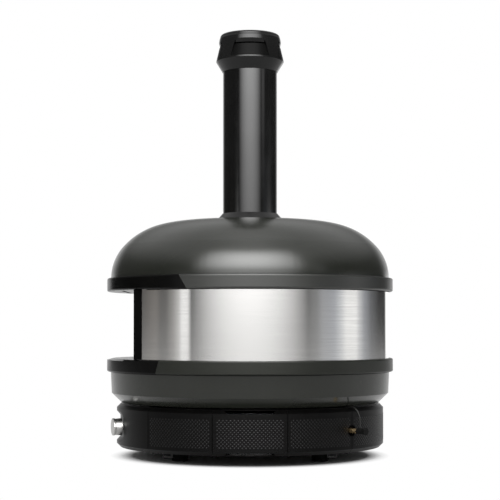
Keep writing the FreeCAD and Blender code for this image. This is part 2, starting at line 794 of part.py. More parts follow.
def inlet_fitting():
    seat = inlet_seat()
    flange = rod(INLET_FLANGE_R, seat - INLET_FLANGE_T, seat, CONTROL_Z)
    body = rod(INLET_BODY_R, inlet_back(), seat - INLET_FLANGE_T, CONTROL_Z)
    nipple = rod(INLET_R, seat, INLET_TIP, CONTROL_Z)
    fitting = joined([flange, body, nipple]).cut(rod(INLET_BORE_R, 0, FAR, CONTROL_Z))
    return around(fitting, INLET_AZIMUTH)


def inlet_cap():
    sleeve = rod(CAP_WELL_R + CAP_WALL, CAP_BACK, CAP_FRONT - CAP_HEAD_T, CONTROL_Z)
    head = rod(CAP_HEAD_R, CAP_FRONT - CAP_HEAD_T, CAP_FRONT, CONTROL_Z)
    reach, level = TETHER_ROUTE[0]
    lug = box(reach - LUG_LENGTH / 2, reach + LUG_LENGTH / 2, -LUG_WIDTH / 2, LUG_WIDTH / 2, CONTROL_Z, level)
    well = rod(CAP_WELL_R, 0, INLET_TIP + SEAT_GAP, CONTROL_Z)
    return around(joined([sleeve, head, lug]).cut(well), INLET_AZIMUTH)


def cap_tether():
    points = [V(u, 0, z) for u, z in TETHER_ROUTE]
    bends = widest_bends(points)
    print("cap_tether bend radii", [round(bend, 1) for bend in bends])
    tube = tube_along(points, TETHER_R, bends)
    section = math.pi * TETHER_R**2
    print("cap_tether length from volume", round(tube.Volume / section, 1))
    return around(tube, INLET_AZIMUTH)


# Pipes and leads


def gas_feed_pipe():
    inlet_end = polar(inlet_back(), INLET_AZIMUTH)
    inlet_turn = polar(inlet_back() - 2 * PIPE_BEND, INLET_AZIMUTH)
    valve_turn = polar(VALVE_BACK - 2 * PIPE_BEND, KNOB_DIRECTION)
    valve_end = polar(VALVE_BACK, KNOB_DIRECTION)
    points = [V(x, y, CONTROL_Z) for x, y in (inlet_end, inlet_turn, valve_turn, valve_end)]
    return tube_along(points, PIPE_R, [PIPE_BEND] * 2, PIPE_BORE_R)


def gas_riser():
    x, y = polar(outlet_reach(), KNOB_DIRECTION)
    points = [
        V(x, y, outlet_top()),
        V(x, y, RISER_LEVEL),
        V(0, RISER_REACH, RISER_LEVEL),
        V(0, RISER_REACH, JOG_LEVEL),
        V(0, BURNER_REACH, JOG_LEVEL),
        V(0, BURNER_REACH, SURROUND_TOP),
    ]
    return tube_along(points, PIPE_R, [RISER_BEND] * 4, PIPE_BORE_R)


def gas_injector():
    top = BURNER_Z - BURNER_R + BURNER_WALL / 2
    body = post(PIPE_R, 0, BURNER_REACH, SURROUND_TOP, top)
    return body.cut(post(PROBE_TIP_R, 0, BURNER_REACH, 0, FAR))


def ignition_unit():
    low = BASE_BOTTOM + SHEET
    half = UNIT_WIDTH / 2
    block = box(UNIT_REACH - half, UNIT_REACH + half, -half, half, low, low + UNIT_HEIGHT)
    return around(block, KNOB_DIRECTION + UNIT_AZIMUTH)


def lead_foot(side):
    """Where a lead ends: on the ignition unit or on the back of the valve."""
    if side > 0:
        x, y = polar(UNIT_REACH, KNOB_DIRECTION + UNIT_AZIMUTH)
        return V(x, y, BASE_BOTTOM + SHEET + UNIT_HEIGHT)
    x, y = polar(VALVE_BACK + PIPE_R, KNOB_DIRECTION)
    return V(x, y, CONTROL_Z + VALVE_R)


def probe(side):
    """A rod that stands at one end of the burner, with the lead that leaves its foot."""
    x, y = polar(BURNER_REACH, REAR - side * PROBE_AZIMUTH)
    stem = post(PROBE_R, x, y, PROBE_BOTTOM, PROBE_TOP)
    tip = post(PROBE_TIP_R, x, y, PROBE_TOP, PROBE_TOP + PROBE_TIP)
    return joined([stem, tip, probe_lead(side)])


def probe_lead(side):
    high = polar(BURNER_REACH, REAR - side * PROBE_AZIMUTH)
    low = polar(LEAD_REACH, REAR - side * PROBE_AZIMUTH)
    foot_point = lead_foot(side)
    level = LEAD_LEVEL + side * LEAD_SPREAD
    jog = JOG_LEVEL - LEAD_BEND
    points = [
        V(high[0], high[1], PROBE_BOTTOM),
        V(high[0], high[1], jog),
        V(low[0], low[1], jog),
        V(low[0], low[1], level),
        V(foot_point.x, foot_point.y, level),
        foot_point,
    ]
    return tube_along(points, LEAD_R, [LEAD_BEND] * 4)


# Bowl, rings and band


def lower_shell():
    split = LOWER_SPLIT - SEAT_GAP / 2
    knee = BOWL_BOTTOM + BOWL_CHAMFER_H
    slope = SHEET * HALF_CHAMFER
    points = [(0, BOWL_BOTTOM), (BOWL_FLOOR_R, BOWL_BOTTOM), (BOWL_CHAMFER_R, knee)]
    points += [(BODY_R, LOWER_RING_Z), (BODY_R, split), (BODY_R - SHEET, split)]
    points += [(BODY_R - SHEET, LOWER_RING_Z), (BOWL_CHAMFER_R - SHEET, knee + slope)]
    points += [(BOWL_FLOOR_R - slope, BOWL_BOTTOM + SHEET), (0, BOWL_BOTTOM + SHEET)]
    return drill(turned(points), service_holes(), BASE_TOP, BOWL_BOTTOM + 2 * SHEET)


def front_half_space(half_angle, lean, level, margin):
    block = box(-2 * FAR, 2 * FAR, -2 * FAR, -margin, -FAR, FAR)
    block = block.rotated(ORIGIN, V(1, 0, 0), lean)
    block = block.translated(V(0, 0, level))
    return around(block, FRONT + half_angle)


def front_zone(half_angle, lean, level, margin):
    right = front_half_space(half_angle, lean, level, margin)
    return right.common(mirrored(right))


def front_ledge(back, z_low):
    plate = disc(RING_BORE_R + SEAT_GAP, z_low, z_low + LEDGE_T)
    return plate.common(box(-FAR, FAR, -FAR, -back, 0, FAR))


def lower_ring():
    ring = eased_ring(RING_BORE_R, RING_R, LOWER_RING_Z, LOWER_RING_TOP, RING_EDGE)
    return ring.cut(front_zone(LOWER_TRIM_ANGLE, LOWER_TRIM_LEAN, LOWER_SPLIT, -TRIM_GAP / 2))


def landing_trim():
    ring = eased_ring(RING_BORE_R, RING_R, LOWER_RING_Z, LOWER_RING_TOP, RING_EDGE)
    trim = ring.common(front_zone(LOWER_TRIM_ANGLE, LOWER_TRIM_LEAN, LOWER_SPLIT, TRIM_GAP / 2))
    apron = disc(BODY_R - SHEET - 2 * SEAT_GAP, LEDGE_BOTTOM, LOWER_RING_TOP)
    apron = apron.common(box(-FRAME_HALF_WIDTH, FRAME_HALF_WIDTH, -FAR, 0, 0, FAR))
    whole = joined([trim, front_ledge(LINER_R, LEDGE_BOTTOM), apron])
    whole = whole.cut(disc(LINER_R + SEAT_GAP, 0, FAR))
    inner = RING_R - BEVEL_WIDTH
    beyond = RING_R + BEVEL_WIDTH
    low = LOWER_RING_TOP - BEVEL_DROP
    high = LOWER_RING_TOP + BEVEL_DROP
    points = [(inner, LOWER_RING_TOP), (RING_R, low), (beyond, low), (beyond, high), (inner, high)]
    return whole.cut(turned(points, FRONT - BEVEL_ANGLE, 2 * BEVEL_ANGLE))


def upper_ring():
    ring = eased_ring(RING_BORE_R, RING_R, UPPER_RING_Z, UPPER_RING_TOP, RING_EDGE)
    return ring.cut(front_zone(UPPER_TRIM_ANGLE, UPPER_TRIM_LEAN, UPPER_SPLIT, -TRIM_GAP / 2))


def visor_trim():
    ring = eased_ring(RING_BORE_R, RING_R, UPPER_RING_Z, UPPER_RING_TOP, RING_EDGE)
    trim = ring.common(front_zone(UPPER_TRIM_ANGLE, UPPER_TRIM_LEAN, UPPER_SPLIT, TRIM_GAP / 2))
    half = VISOR_SLOT_LENGTH / 2
    middle = VISOR_SLOT_INSET - BODY_R
    width = VISOR_SLOT_WIDTH / 2
    slot = box(-half, half, middle - width, middle + width, 0, FAR)
    return joined([trim, front_ledge(FRAME_FRONT - VISOR_LAP, UPPER_RING_Z)]).cut(slot)


def steel_band():
    low = LOWER_SPLIT + SEAT_GAP / 2
    high = UPPER_SPLIT - SEAT_GAP / 2
    start = FRONT + MOUTH_HALF_ANGLE
    return pipe_ring(BODY_R - BAND_T, BODY_R, low, high, start, 360 - 2 * MOUTH_HALF_ANGLE)


# Mouth


def portal(half_width, z_low, z_high, corner, y_low, y_high):
    """A block that runs back along Y, with its two upper corners rounded."""
    points = [(-half_width, z_low), (half_width, z_low)]
    points += [(half_width, z_high, corner), (-half_width, z_high, corner)]
    face = outline_face(points).translated(V(0, y_low, 0))
    return face.extrude(V(0, y_high - y_low, 0))


def mouth_frame():
    front = -FRAME_FRONT
    back = front + FRAME_DEPTH
    block = box(-FRAME_HALF_WIDTH, FRAME_HALF_WIDTH, front, back, MOUTH_FLOOR, MOUTH_TOP)
    hollow = FRAME_HALF_WIDTH - FRAME_T
    inside = box(-hollow, hollow, front + FRAME_T, back, 0, FAR)
    mouth = portal(THROAT_HALF_WIDTH, 0, THROAT_TOP, FRAME_CORNER, -FAR, 0)
    return block.cut([inside, mouth])


def mouth_throat():
    front = -FRAME_FRONT + FRAME_T + SEAT_GAP
    gap = THROAT_T + SEAT_GAP
    outer = portal(THROAT_HALF_WIDTH + gap, MOUTH_FLOOR, THROAT_TOP + gap, FRAME_CORNER + gap, front, 0)
    inner = portal(THROAT_HALF_WIDTH + SEAT_GAP, 0, THROAT_TOP + SEAT_GAP, FRAME_CORNER + SEAT_GAP, -FAR, 0)
    return outer.cut([inner, disc(LINER_R + SEAT_GAP, 0, FAR)])


def wall_insulation():
    inner = LINER_R + SEAT_GAP
    wall = pipe_ring(inner, inner + BLANKET_T, BOARD_BOTTOM, UPPER_RING_Z + LEDGE_T)
    half = FRAME_HALF_WIDTH + 2 * SEAT_GAP
    under = LEDGE_BOTTOM - SEAT_GAP
    back = FRAME_DEPTH - FRAME_FRONT + SEAT_GAP
    gap = THROAT_T + 2 * SEAT_GAP
    frame_room = box(-half, half, -FAR, back, under, FAR)
    apron_room = box(-half, half, -FAR, 0, under, MOUTH_FLOOR)
    tunnel = portal(THROAT_HALF_WIDTH + gap, under, THROAT_TOP + gap, FRAME_CORNER, -FAR, 0)
    return wall.cut([frame_room, apron_room, tunnel])


# Chamber


def hearth_tray():
    tray = disc(BODY_R - TRAY_INSET, TRAY_BOTTOM, TRAY_BOTTOM + SHEET)
    spots = [polar(TRAY_LEG_REACH, 45 + 90 * index) for index in range(4)]
    legs = [post(TRAY_LEG_R, x, y, BOWL_BOTTOM + SHEET, TRAY_BOTTOM) for x, y in spots]
    return drill(joined([tray] + legs), chamber_holes(), TRAY_BOTTOM, FAR)


def floor_insulation():
    board = disc(HEARTH_R, BOARD_BOTTOM, BOARD_BOTTOM + BOARD_T)
    return drill(board, chamber_holes(), 0, FAR)


def baking_stone():
    stone = disc(STONE_R, STONE_BOTTOM, STONE_TOP)
    rims = [edge for edge in stone.Edges if edge.BoundBox.ZLength < 1]
    return stone.makeChamfer(STONE_EDGE, rims)


def hearth_surround():
    ring = pipe_ring(STONE_R + SLEEVE_MARGIN, HEARTH_R, STONE_BOTTOM, SURROUND_TOP)
    return drill(ring, chamber_holes(), 0, FAR)


def oven_liner():
    liner = dome_layer(LINER_INSET, LINER_INSET + LINER_T, BOARD_BOTTOM)
    half = THROAT_HALF_WIDTH + SEAT_GAP
    return liner.cut(portal(half, LEDGE_BOTTOM - SEAT_GAP, THROAT_TOP + SEAT_GAP, FRAME_CORNER, -FAR, 0))


def dome_insulation():
    low = UPPER_RING_Z + LEDGE_T + SEAT_GAP
    inner = LINER_INSET - SEAT_GAP
    return dome_layer(inner - BLANKET_T, inner, low)


def dome_shell():
    return dome_layer(0, SHEET, UPPER_SPLIT + SEAT_GAP / 2)


# Burner


def circle_face(radius):
    """The burner's round section, on the plane that its sweep starts from."""
    return Part.Face(Part.Wire(Part.makeCircle(radius, V(BURNER_REACH, 0, BURNER_Z), V(0, 1, 0))))


def burner_tube():
    start = REAR - BURNER_SWEEP / 2
    cap = math.degrees(BURNER_WALL / BURNER_REACH)
    tube = spin(circle_face(BURNER_R), start, BURNER_SWEEP)
    bore = spin(circle_face(BURNER_R - BURNER_WALL), start + cap, BURNER_SWEEP - 2 * cap)
    inlet = post(PIPE_R + FIT_GAP, 0, BURNER_REACH, 0, BURNER_Z - BURNER_R / 2)
    step = (BURNER_SWEEP - 2 * PORT_MARGIN) / (BURNER_PORTS - 1)
    half = BURNER_PORT_WIDTH / 2
    inner = BURNER_REACH - BURNER_R
    low = BURNER_Z + BURNER_WALL
    port = box(inner - BURNER_WALL, inner + BURNER_R / 2, -half, half, low, low + BURNER_PORT_HEIGHT)
    ports = [around(port, start + PORT_MARGIN + step * index) for index in range(BURNER_PORTS)]
    return tube.cut([bore, inlet] + ports)


def burner_saddles():
    low = SURROUND_TOP
    high = BURNER_Z - BURNER_R / 2
    room = Part.makeTorus(BURNER_REACH, BURNER_R + SEAT_GAP, V(0, 0, BURNER_Z))
    saddles = []
    for side in (1, -1):
        start = REAR + side * SADDLE_AZIMUTH - SADDLE_SWEEP / 2
        block = pipe_ring(BURNER_REACH - BURNER_R, BURNER_REACH + BURNER_R, low, high, start, SADDLE_SWEEP)
        saddles.append(block.cut(room))
    return Part.makeCompound(saddles)


def flame_guard():
    low = SURROUND_TOP
    start = REAR - GUARD_SWEEP / 2
    return pipe_ring(GUARD_R, GUARD_R + LINER_T, low, low + GUARD_HEIGHT, start, GUARD_SWEEP)


# Flue


def crown_level():
    return dome_top(0)


def flue_seat():
    return crown_level() + COLLAR_LEDGE


def flue_top():
    return flue_seat() + FLUE_LENGTH


def flue_collar():
    low = crown_level()
    high = low + COLLAR_H
    bore = COLLAR_BORE_R
    points = [(DOME_HOLE_R, low), (FLUE_R + COLLAR_FLARE, low), (bore + COLLAR_LIP, high), (bore, high)]
    points += [(bore, flue_seat()), (DOME_HOLE_R, flue_seat())]
    return turned(points)


def flue_duct():
    return pipe_ring(DUCT_R - DUCT_T, DUCT_R, dome_top(LINER_INSET + LINER_T), crown_level() + DUCT_RISE)


def flue_tube():
    return pipe_ring(FLUE_R - FLUE_T, FLUE_R, flue_seat(), flue_top())


def flue_liner():
    low = flue_seat() + SLIDE_GAP
    return pipe_ring(FLUE_LINER_R - FLUE_LINER_T, FLUE_LINER_R, low, flue_top() + FLUE_LINER_RISE)


def flue_spacers():
    inner = FLUE_LINER_R + SEAT_GAP / 2
    outer = FLUE_R - FLUE_T - SEAT_GAP / 2
    levels = (flue_seat() + SPACER_H, flue_top() - 3 * SPACER_H)
    return Part.makeCompound([pipe_ring(inner, outer, low, low + SPACER_H) for low in levels])


# Flue cap, drawn with the top of the tube at level 0 and then lifted there


def cap_body_r(rise):
    share = (rise - CAP_RIM_RISE) / (CAP_SHOULDER_RISE - CAP_RIM_RISE)
    return CAP_RIM_R + (CAP_SHOULDER_R - CAP_RIM_R) * share


def window_prism(shrink):
    """A prism along +X with the window's outline: wider below, with rounded upper corners."""
    low = WINDOW_LOW_RISE + shrink
    low_half = WINDOW_LOW_HALF - shrink
    high_half = WINDOW_HIGH_HALF - shrink
    points = [(-low_half, low), (low_half, low)]
    points += [(high_half, WINDOW_HIGH_RISE, WINDOW_CORNER), (-high_half, WINDOW_HIGH_RISE, WINDOW_CORNER)]
    return around(outline_face(points).extrude(V(0, FAR, 0)), -90)


def window_cut():
    low = WINDOW_LOW_RISE
    high = WINDOW_HIGH_RISE
    lintel = WINDOW_LINTEL_RISE
    outer = CAP_RIM_R + CAP_SHELL_T
    points = [(DUCT_R, low), (outer, low), (outer, high), (cap_body_r(high), high)]
    points += [(cap_body_r(lintel) - CAP_SHELL_T, lintel), (DUCT_R, lintel)]
    return turned(points).common(window_prism(0))


def four_ways(shape):
    return [around(shape, 90 * index) for index in range(4)]


def cap_shell():
    bore = COLLAR_BORE_R
    t = CAP_SHELL_T
    flange_r = FLUE_LINER_R + SLIDE_GAP
    points = [(flange_r, 0), (bore, 0), (bore, -CAP_SKIRT), (bore + CAP_SKIRT_T, -CAP_SKIRT)]
    points += [(CAP_RIM_R, CAP_RIM_RISE, CAP_RIM_EDGE), (CAP_SHOULDER_R, CAP_SHOULDER_RISE)]
    points += [(CAP_NECK_R, CAP_NECK_RISE), (CAP_NECK_R, CAP_RISE, CAP_TOP_EDGE), (0, CAP_RISE)]
    points += [(0, CAP_RISE - t), (CAP_NECK_R - t, CAP_RISE - t, CAP_TOP_EDGE - t)]
    points += [(CAP_NECK_R - t, CAP_NECK_RISE - t / 2), (CAP_SHOULDER_R - t, CAP_SHOULDER_RISE - t / 2)]
    points += [(CAP_RIM_R - t, CAP_RIM_RISE), (bore, t), (flange_r, t)]
    return turned(points).cut(four_ways(window_cut())).translated(V(0, 0, flue_top()))


def cap_sleeve():
    """The ring behind the windows, with a raised pad that fills each window's lower part."""
    t = CAP_SLEEVE_T
    low = CAP_RIM_RISE + t
    high = WINDOW_LINTEL_RISE - OUTLET_HEIGHT
    inset = CAP_SHELL_T + SEAT_GAP
    low_r = cap_body_r(low) - inset
    high_r = cap_body_r(high) - inset
    sleeve = turned([(low_r - t, low), (low_r, low), (high_r, high), (high_r - t, high)])
    pad_low = WINDOW_LOW_RISE + PAD_GAP
    outer_low = cap_body_r(pad_low) - PAD_LOW_DEPTH
    outer_high = cap_body_r(high) - PAD_HIGH_DEPTH
    points = [(low_r - t / 2, pad_low), (outer_low, pad_low), (outer_high, high), (high_r - t / 2, high)]
    pad = turned(points).common(window_prism(PAD_GAP))
    return joined([sleeve] + four_ways(pad)).translated(V(0, 0, flue_top()))


def pieces():
    made = {}
    names = ("foot_front_right", "foot_rear_right", "foot_front_left", "foot_rear_left")
    for name, (x, y) in zip(names, foot_centres()):
        made[name] = foot(x, y)
    made["foot_screws"] = foot_screws()
    made["stand_loops"] = stand_loops()
    made["base_pan"] = base_pan()
    made["pan_screws"] = pan_screws()
    made["base_posts"] = base_posts()
    made["base_deck"] = base_deck()
    made["front_panel"] = front_panel()
    made["right_front_panel"] = side_front_panel()
    made["right_centre_panel"] = centre_panel()
    made["right_rear_panel"] = side_rear_panel().cut(inlet_hole())
    made["left_front_panel"] = mirrored(side_front_panel())
    made["left_centre_panel"] = mirrored(centre_panel())
    made["left_rear_panel"] = mirrored(side_rear_panel())
    made["rear_panel"] = rear_panel()
    made["plinth_ring"] = plinth_ring()
    made["valve_bracket"] = valve_bracket()
    made["valve_body"] = valve_body()
    made["valve_nut"] = valve_nut()
    made["valve_plug"] = valve_plug()
    made["knob_stem"] = knob_stem()
    made["knob"] = knob()
    made["inlet_fitting"] = inlet_fitting()
    made["inlet_cap"] = inlet_cap()
    made["cap_tether"] = cap_tether()
    made["gas_feed_pipe"] = gas_feed_pipe()
    made["gas_riser"] = gas_riser()
    made["gas_injector"] = gas_injector()
    made["ignition_unit"] = ignition_unit()
    made["igniter_electrode"] = probe(1)
    made["thermocouple"] = probe(-1)
    made["lower_shell"] = lower_shell()
    made["lower_ring"] = lower_ring()
    made["landing_trim"] = landing_trim()
    made["steel_band"] = steel_band()
    made["upper_ring"] = upper_ring()
    made["visor_trim"] = visor_trim()
    made["mouth_frame"] = mouth_frame()
    made["mouth_throat"] = mouth_throat()
    made["wall_insulation"] = wall_insulation()
    made["hearth_tray"] = hearth_tray()
    made["floor_insulation"] = floor_insulation()
    made["baking_stone"] = baking_stone()
    made["hearth_surround"] = hearth_surround()
    made["oven_liner"] = oven_liner()
    made["dome_insulation"] = dome_insulation()
    made["dome_shell"] = dome_shell()
    made["burner_tube"] = burner_tube()
    made["burner_saddles"] = burner_saddles()
    made["flame_guard"] = flame_guard()
    made["flue_collar"] = flue_collar()
    made["flue_duct"] = flue_duct()
    made["flue_tube"] = flue_tube()
    made["flue_liner"] = flue_liner()
    made["flue_spacers"] = flue_spacers()
    made["cap_shell"] = cap_shell()
    made["cap_sleeve"] = cap_sleeve()
    return made


os.makedirs("parts", exist_ok=True)
for name, shape in pieces().items():
    solids = len(shape.Solids)
    print(name, "solids", solids, "valid", shape.isValid(), "volume", round(shape.Volume))
    shape.exportStep("parts/" + name + ".step")
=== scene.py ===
import json
import math

import bpy
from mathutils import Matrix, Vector

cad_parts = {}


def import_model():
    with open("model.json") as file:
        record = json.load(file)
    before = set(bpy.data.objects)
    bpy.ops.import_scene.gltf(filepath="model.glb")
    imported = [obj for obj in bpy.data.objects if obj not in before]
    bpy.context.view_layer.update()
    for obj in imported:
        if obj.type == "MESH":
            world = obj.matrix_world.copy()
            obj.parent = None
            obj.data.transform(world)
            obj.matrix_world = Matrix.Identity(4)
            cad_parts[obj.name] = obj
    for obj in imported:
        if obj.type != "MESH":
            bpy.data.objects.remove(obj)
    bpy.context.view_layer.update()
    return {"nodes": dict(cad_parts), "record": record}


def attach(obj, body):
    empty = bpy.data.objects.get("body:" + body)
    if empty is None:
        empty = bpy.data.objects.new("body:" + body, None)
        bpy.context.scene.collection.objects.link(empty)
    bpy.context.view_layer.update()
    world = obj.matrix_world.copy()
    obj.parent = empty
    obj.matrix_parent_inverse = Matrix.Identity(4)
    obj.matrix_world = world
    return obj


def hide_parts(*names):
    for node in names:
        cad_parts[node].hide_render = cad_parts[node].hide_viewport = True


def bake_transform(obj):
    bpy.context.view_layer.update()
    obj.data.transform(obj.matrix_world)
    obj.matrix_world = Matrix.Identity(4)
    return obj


# Lengths are in metres and angles in degrees. The front faces -Y and the photographed side faces +X.

# Camera
CAMERA_PLACE = (2.9975, 0.0, 0.2711)
CAMERA_RISE = 1.154
CAMERA_LENS = 100.53
CAMERA_SENSOR = 36.0
CAMERA_SHIFT = 0.10
CAMERA_REACH = 100.0

# Tether of the dust cap, as distances from the axis and heights in the upright plane through the inlet
INLET_AZIMUTH = 46.0
INLET_HEIGHT = 0.0657
TETHER_ROUTE = [
    (0.3044, 0.0726),
    (0.3044, 0.0850),
    (0.3032, 0.0990),
    (0.2925, 0.1118),
    (0.2785, 0.1135),
    (0.2650, 0.1135),
]
TETHER_DIAMETER = 0.0028
CURVE_STEPS = 16
CURVE_ROUNDING = 5

# Raised dots on the base panels, left out round the gas inlet
PANEL_R = 0.284
DOT_PITCH = 0.00762
DOT_R = 0.0021
DOT_HEIGHT = 0.0004
DOT_SINK = 0.0001
DOT_LOW = 0.0372
DOT_ROWS = 8
DOT_SIDES = 10
HOLE_ROOM = 0.0138

# Rings of points on a dot, as shares of its radius and of its height
DOT_RINGS = ((1.0, 0.0), (0.8, 0.45), (0.5, 0.8), (0.22, 0.97))

# Middle azimuth of each field of dots, and its number of columns
DOT_FIELDS = {
    "right_centre_panel": (0.0, 17),
    "left_centre_panel": (180.0, 17),
    "right_front_panel": (-30.5, 18),
    "right_rear_panel": (30.5, 18),
    "left_front_panel": (210.5, 18),
    "left_rear_panel": (149.5, 18),
    "rear_panel": (90.0, 55),
}

# Shut lines between the base panels
SEAM_AZIMUTHS = (-46.0, -15.0, 15.0, 46.0, 134.0, 165.0, 195.0, 226.0)
SEAM_WIDTH = 0.0018
SEAM_LIFT = 0.0002
SEAM_SLOPE = 0.0086
SEAM_LOW = 0.0222
SEAM_HIGH = 0.1114

# Dark strips painted as the shade under the two rings, as distance from the axis, foot, top, first azimuth
# and sweep
SHADE_STRIP_LIFT = 0.0003
SHADE_STRIP_SIDES = 144
RING_SHADE_STRIPS = {
    "lower_ring_painted_shade": (0.297, 0.1783, 0.1796, 0.0, 360.0),
    "upper_ring_painted_shade": (0.297, 0.3470, 0.3486, -44.0, 268.0),
}

# Tones that several surfaces share, each as a darker and a paler one
PAINT_TONES = ((0.0158, 0.0172, 0.0135), (0.0195, 0.0210, 0.0168))
BLACK_TONES = ((0.0018, 0.0018, 0.0018), (0.0032, 0.0032, 0.0030))
SATIN_TONES = ((0.0045, 0.0045, 0.0045), (0.0065, 0.0065, 0.0062))
BASE_TONES = ((0.0011, 0.0010, 0.0010), (0.0017, 0.0016, 0.0015))

# Flecks in the paint, as colour, strength, and the noise levels where they begin and end
PAINT_FLECKS = ((0.040, 0.041, 0.037), 0.25, 0.5, 0.8)

# Scale and detail of the finest noise, and the depth of its relief
FINE_GRAIN = (900.0, 2.0)
FINE_DEPTH = 0.0002

# Scales of the brushed steel's lines and streaks, round the axis and up it
LINE_SCALES = (2.0, 480.0)
STREAK_SCALES = (1.2, 150.0)

# Nodes whose surface differs from the one of their slot. The lower shell and the two rings take darker
# copies of the body paint, as painted shade.
FINER_SURFACES = {
    "cap_shell": "cap_enamel",
    "cap_sleeve": "window_enamel",
    "lower_shell": "lower_shell_shaded_paint",
    "lower_ring": "lower_ring_shaded_paint",
    "upper_ring": "upper_ring_shaded_paint",
    "mouth_frame": "dull_black",
    "stand_loops": "cap_enamel",
    "flue_collar": "cap_enamel",
}

# Soft lamps and the height they aim at, each as azimuth, elevation, distance, width, height and radiance
LAMP_AIM = 0.45
SOFTBOXES = {
    "front_light": (2.0, 38.0, 4.0, 5.0, 3.0, 1.3),
    "top_light": (0.0, 89.0, 3.0, 4.0, 4.0, 1.9),
    "mouth_light": (-90.0, 14.0, 3.6, 2.4, 1.2, 0.9),
}

# Light of the room on dull surfaces
AMBIENT = (0.35, 0.35, 0.35)

# The room that glossy surfaces show, up to just above the level, by azimuth
LOW_BAND = [
    (-180, 0.95),
    (-150, 0.95),
    (-145, 0.03),
    (-120, 0.05),
    (-99, 0.03),
    (-92, 0.20, 0.18, 0.16),
    (-82, 0.34, 0.31, 0.28),
    (-76, 0.13, 0.12, 0.11),
    (-71, 0.15, 0.14, 0.13),
    (-64, 0.74, 0.72, 0.69),
    (-59, 1.60, 1.59, 1.57),
    (-56, 2.98),
    (-51, 2.98),
    (-48, 0.14),
    (-41, 0.08),
    (-35, 0.10),
    (38, 0.11),
    (46, 0.14),
    (55, 0.28, 0.29, 0.30),
    (61, 0.76, 0.79, 0.84),
    (72, 1.01, 1.06, 1.15),
    (79, 1.75, 1.80, 1.85),
    (84, 2.45),
    (95, 2.38),
    (99, 1.54, 1.56, 1.60),
    (106, 0.68, 0.71, 0.77),
    (116, 0.21, 0.22, 0.24),
    (130, 0.02),
    (146, 0.02),
    (150, 1.75),
    (180, 1.10),
]

# The same higher up, by azimuth, and the elevations where the first band gives way to it
HIGH_BAND = [
    (-180, 0.95),
    (-160, 0.95),
    (-140, 0.06),
    (140, 0.06),
    (160, 0.95),
    (180, 0.95),
]
HIGH_BAND_START = (2.0, 5.0)

# The same overhead, by elevation, and the elevations where both bands give way to it
OVERHEAD = [
    (-90, 0.0),
    (10, 0.08),
    (20, 0.16),
    (30, 0.52),
    (42, 0.90),
    (54, 1.00),
    (66, 0.98),
    (74, 1.20),
    (82, 1.55),
    (90, 1.65),
]
OVERHEAD_START = (10.0, 22.0)

# The large lamp on the photographed side of that room, as shares of its peak by elevation
SIDE_LAMP = [
    (-90, 0.0),
    (1.2, 0.0),
    (2.8, 0.19),
    (7, 0.23),
    (11, 0.40),
    (15, 0.63),
    (20, 0.85),
    (27, 1.0),
    (38, 1.0),
    (48, 0.70),
    (58, 0.065),
    (70, 0.060),
    (80, 0.030),
    (90, 0.0),
]
SIDE_LAMP_AZIMUTH = 0.0
SIDE_LAMP_HALF = 48.0
SIDE_LAMP_PEAK = 12.0

# A faint lamp farther to the rear
REAR_LAMP = [
    (-90, 0.0),
    (7, 0.0),
    (9, 1.0),
    (14, 1.0),
    (22, 0.5),
    (30, 0.0),
    (90, 0.0),
]
REAR_LAMP_AZIMUTH = 57.0
REAR_LAMP_HALF = 9.0
REAR_LAMP_PEAK = 0.8

# Floor, which turns white between two distances from the axis, outside the shadow of the base
FLOOR_SIZE = 12
FLOOR_TONE = 0.9
FLOOR_GLOSS = 0.6
FLOOR_TURNS_WHITE = (0.250, 0.298)


# Points and objects


def polar(reach, azimuth, height):
    angle = math.radians(azimuth)
    return Vector((reach * math.cos(angle), reach * math.sin(angle), height))


def link_object(name, data):
    made = bpy.data.objects.new(name, data)
    bpy.context.scene.collection.objects.link(made)
    return made


def mesh_object(name, points, faces, smooth=True):
    mesh = bpy.data.meshes.new(name)
    mesh.from_pydata(points, [], faces)
    mesh.validate()
    mesh.polygons.foreach_set("use_smooth", [smooth] * len(mesh.polygons))
    return link_object(name, mesh)


def dress(piece, material):
    piece.data.materials.clear()
    piece.data.materials.append(material)


# Camera and cord


def make_camera():
    data = bpy.data.cameras.new("camera")
    data.lens = CAMERA_LENS
    data.sensor_width = CAMERA_SENSOR
    data.shift_y = CAMERA_SHIFT
    data.clip_end = CAMERA_REACH
    camera = link_object("camera", data)
    camera.location = CAMERA_PLACE
    camera.rotation_euler = (math.radians(90 + CAMERA_RISE), 0, math.radians(90))
    bpy.context.scene.camera = camera


def route_curve(name, points, radius):
    """A smooth curve whose control points are the route's points."""
    data = bpy.data.curves.new(name, "CURVE")
    data.dimensions = "3D"
    data.resolution_u = CURVE_STEPS
    data.bevel_depth = radius
    data.bevel_resolution = CURVE_ROUNDING
    data.use_fill_caps = True
    spline = data.splines.new("NURBS")
    spline.points.add(len(points) - 1)
    for control, point in zip(spline.points, points):
        control.co = (*point, 1)
    spline.order_u = 3
    spline.use_endpoint_u = True
    return link_object(name, data)


def curve_mesh(name, points, radius):
    source = route_curve(name + "_route", points, radius)
    graph = bpy.context.evaluated_depsgraph_get()
    mesh = bpy.data.meshes.new_from_object(source.evaluated_get(graph))
    bpy.data.objects.remove(source)
    mesh.name = name
    return mesh


def make_tether():
    points = [polar(reach, INLET_AZIMUTH, height) for reach, height in TETHER_ROUTE]
    line = curve_mesh("tether_line", points, 0)
    tube = link_object("tether", curve_mesh("tether", points, TETHER_DIAMETER / 2))
    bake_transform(tube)
    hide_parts("cap_tether")
    return tube


# Nodes of materials


def set_socket(tree, socket, value):
    if isinstance(value, bpy.types.NodeSocket):
        tree.links.new(value, socket)
    else:
        socket.default_value = value


def add_node(tree, kind, values=None, **settings):
    node = tree.nodes.new("ShaderNode" + kind)
    for name, value in settings.items():
        setattr(node, name, value)
    for name, value in (values or {}).items():
        set_socket(tree, node.inputs[name], value)
    return node


def maths(tree, operation, first, second=0.0):
    return add_node(tree, "Math", {0: first, 1: second}, operation=operation).outputs[0]


def object_place(tree):
    return add_node(tree, "TexCoord").outputs["Object"]


